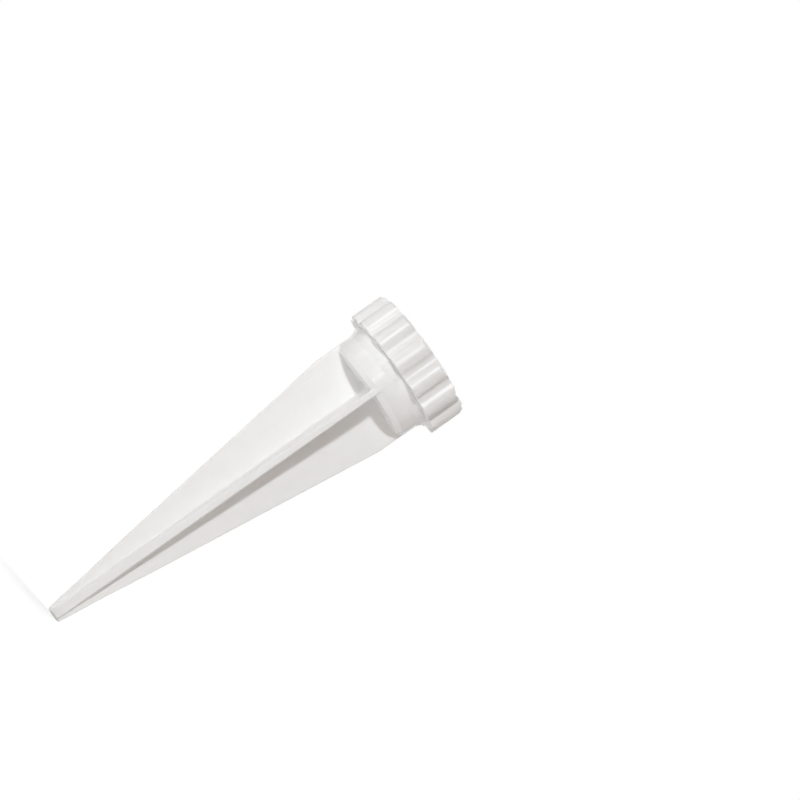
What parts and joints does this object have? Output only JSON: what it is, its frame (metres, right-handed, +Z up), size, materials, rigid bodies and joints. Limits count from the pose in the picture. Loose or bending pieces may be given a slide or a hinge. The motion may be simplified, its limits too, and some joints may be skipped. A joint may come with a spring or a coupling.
{
  "type": "self watering spike",
  "caption": "Plant watering spike: a finned stake with a cup and a lobed screw collar that takes a drinks bottle's neck. Turning the collar opens a drip valve in the cup.",
  "frame": {"origin": "on the axis, at the underside of the cup, which is the soil line when the fins are pushed in", "axes": "+Z up along the axis from the tip to the bottle, -Y and +X each along a fin"},
  "size_m": [0.0434, 0.0432, 0.137],
  "materials": {
    "white_plastic": "moulded polypropylene, satin gloss",
    "seal_rubber": "moulded black rubber, matt"
  },
  "bodies": {
    "spike": {"spike": "white_plastic"},
    "seal": {"seal_ring": "seal_rubber"},
    "collar": {"bottle_collar": "white_plastic", "bottle_washer": "seal_rubber", "valve_washer": "seal_rubber"}
  },
  "joints": [
    {"name": "collar_lift", "type": "slide", "parent": "spike", "child": "seal", "axis": [0, 0, 1], "range_m": [0, 0.001]},
    {"name": "collar_turn", "type": "hinge", "parent": "seal", "child": "collar", "pos_m": [0, 0, 0.0095], "axis": [0, 0, 1], "range_deg": [0, 240]}
  ],
  "couplings": [
    {"joint": "collar_lift", "follows": "collar_turn", "m_per_rad": 0.00023873}
  ]
}
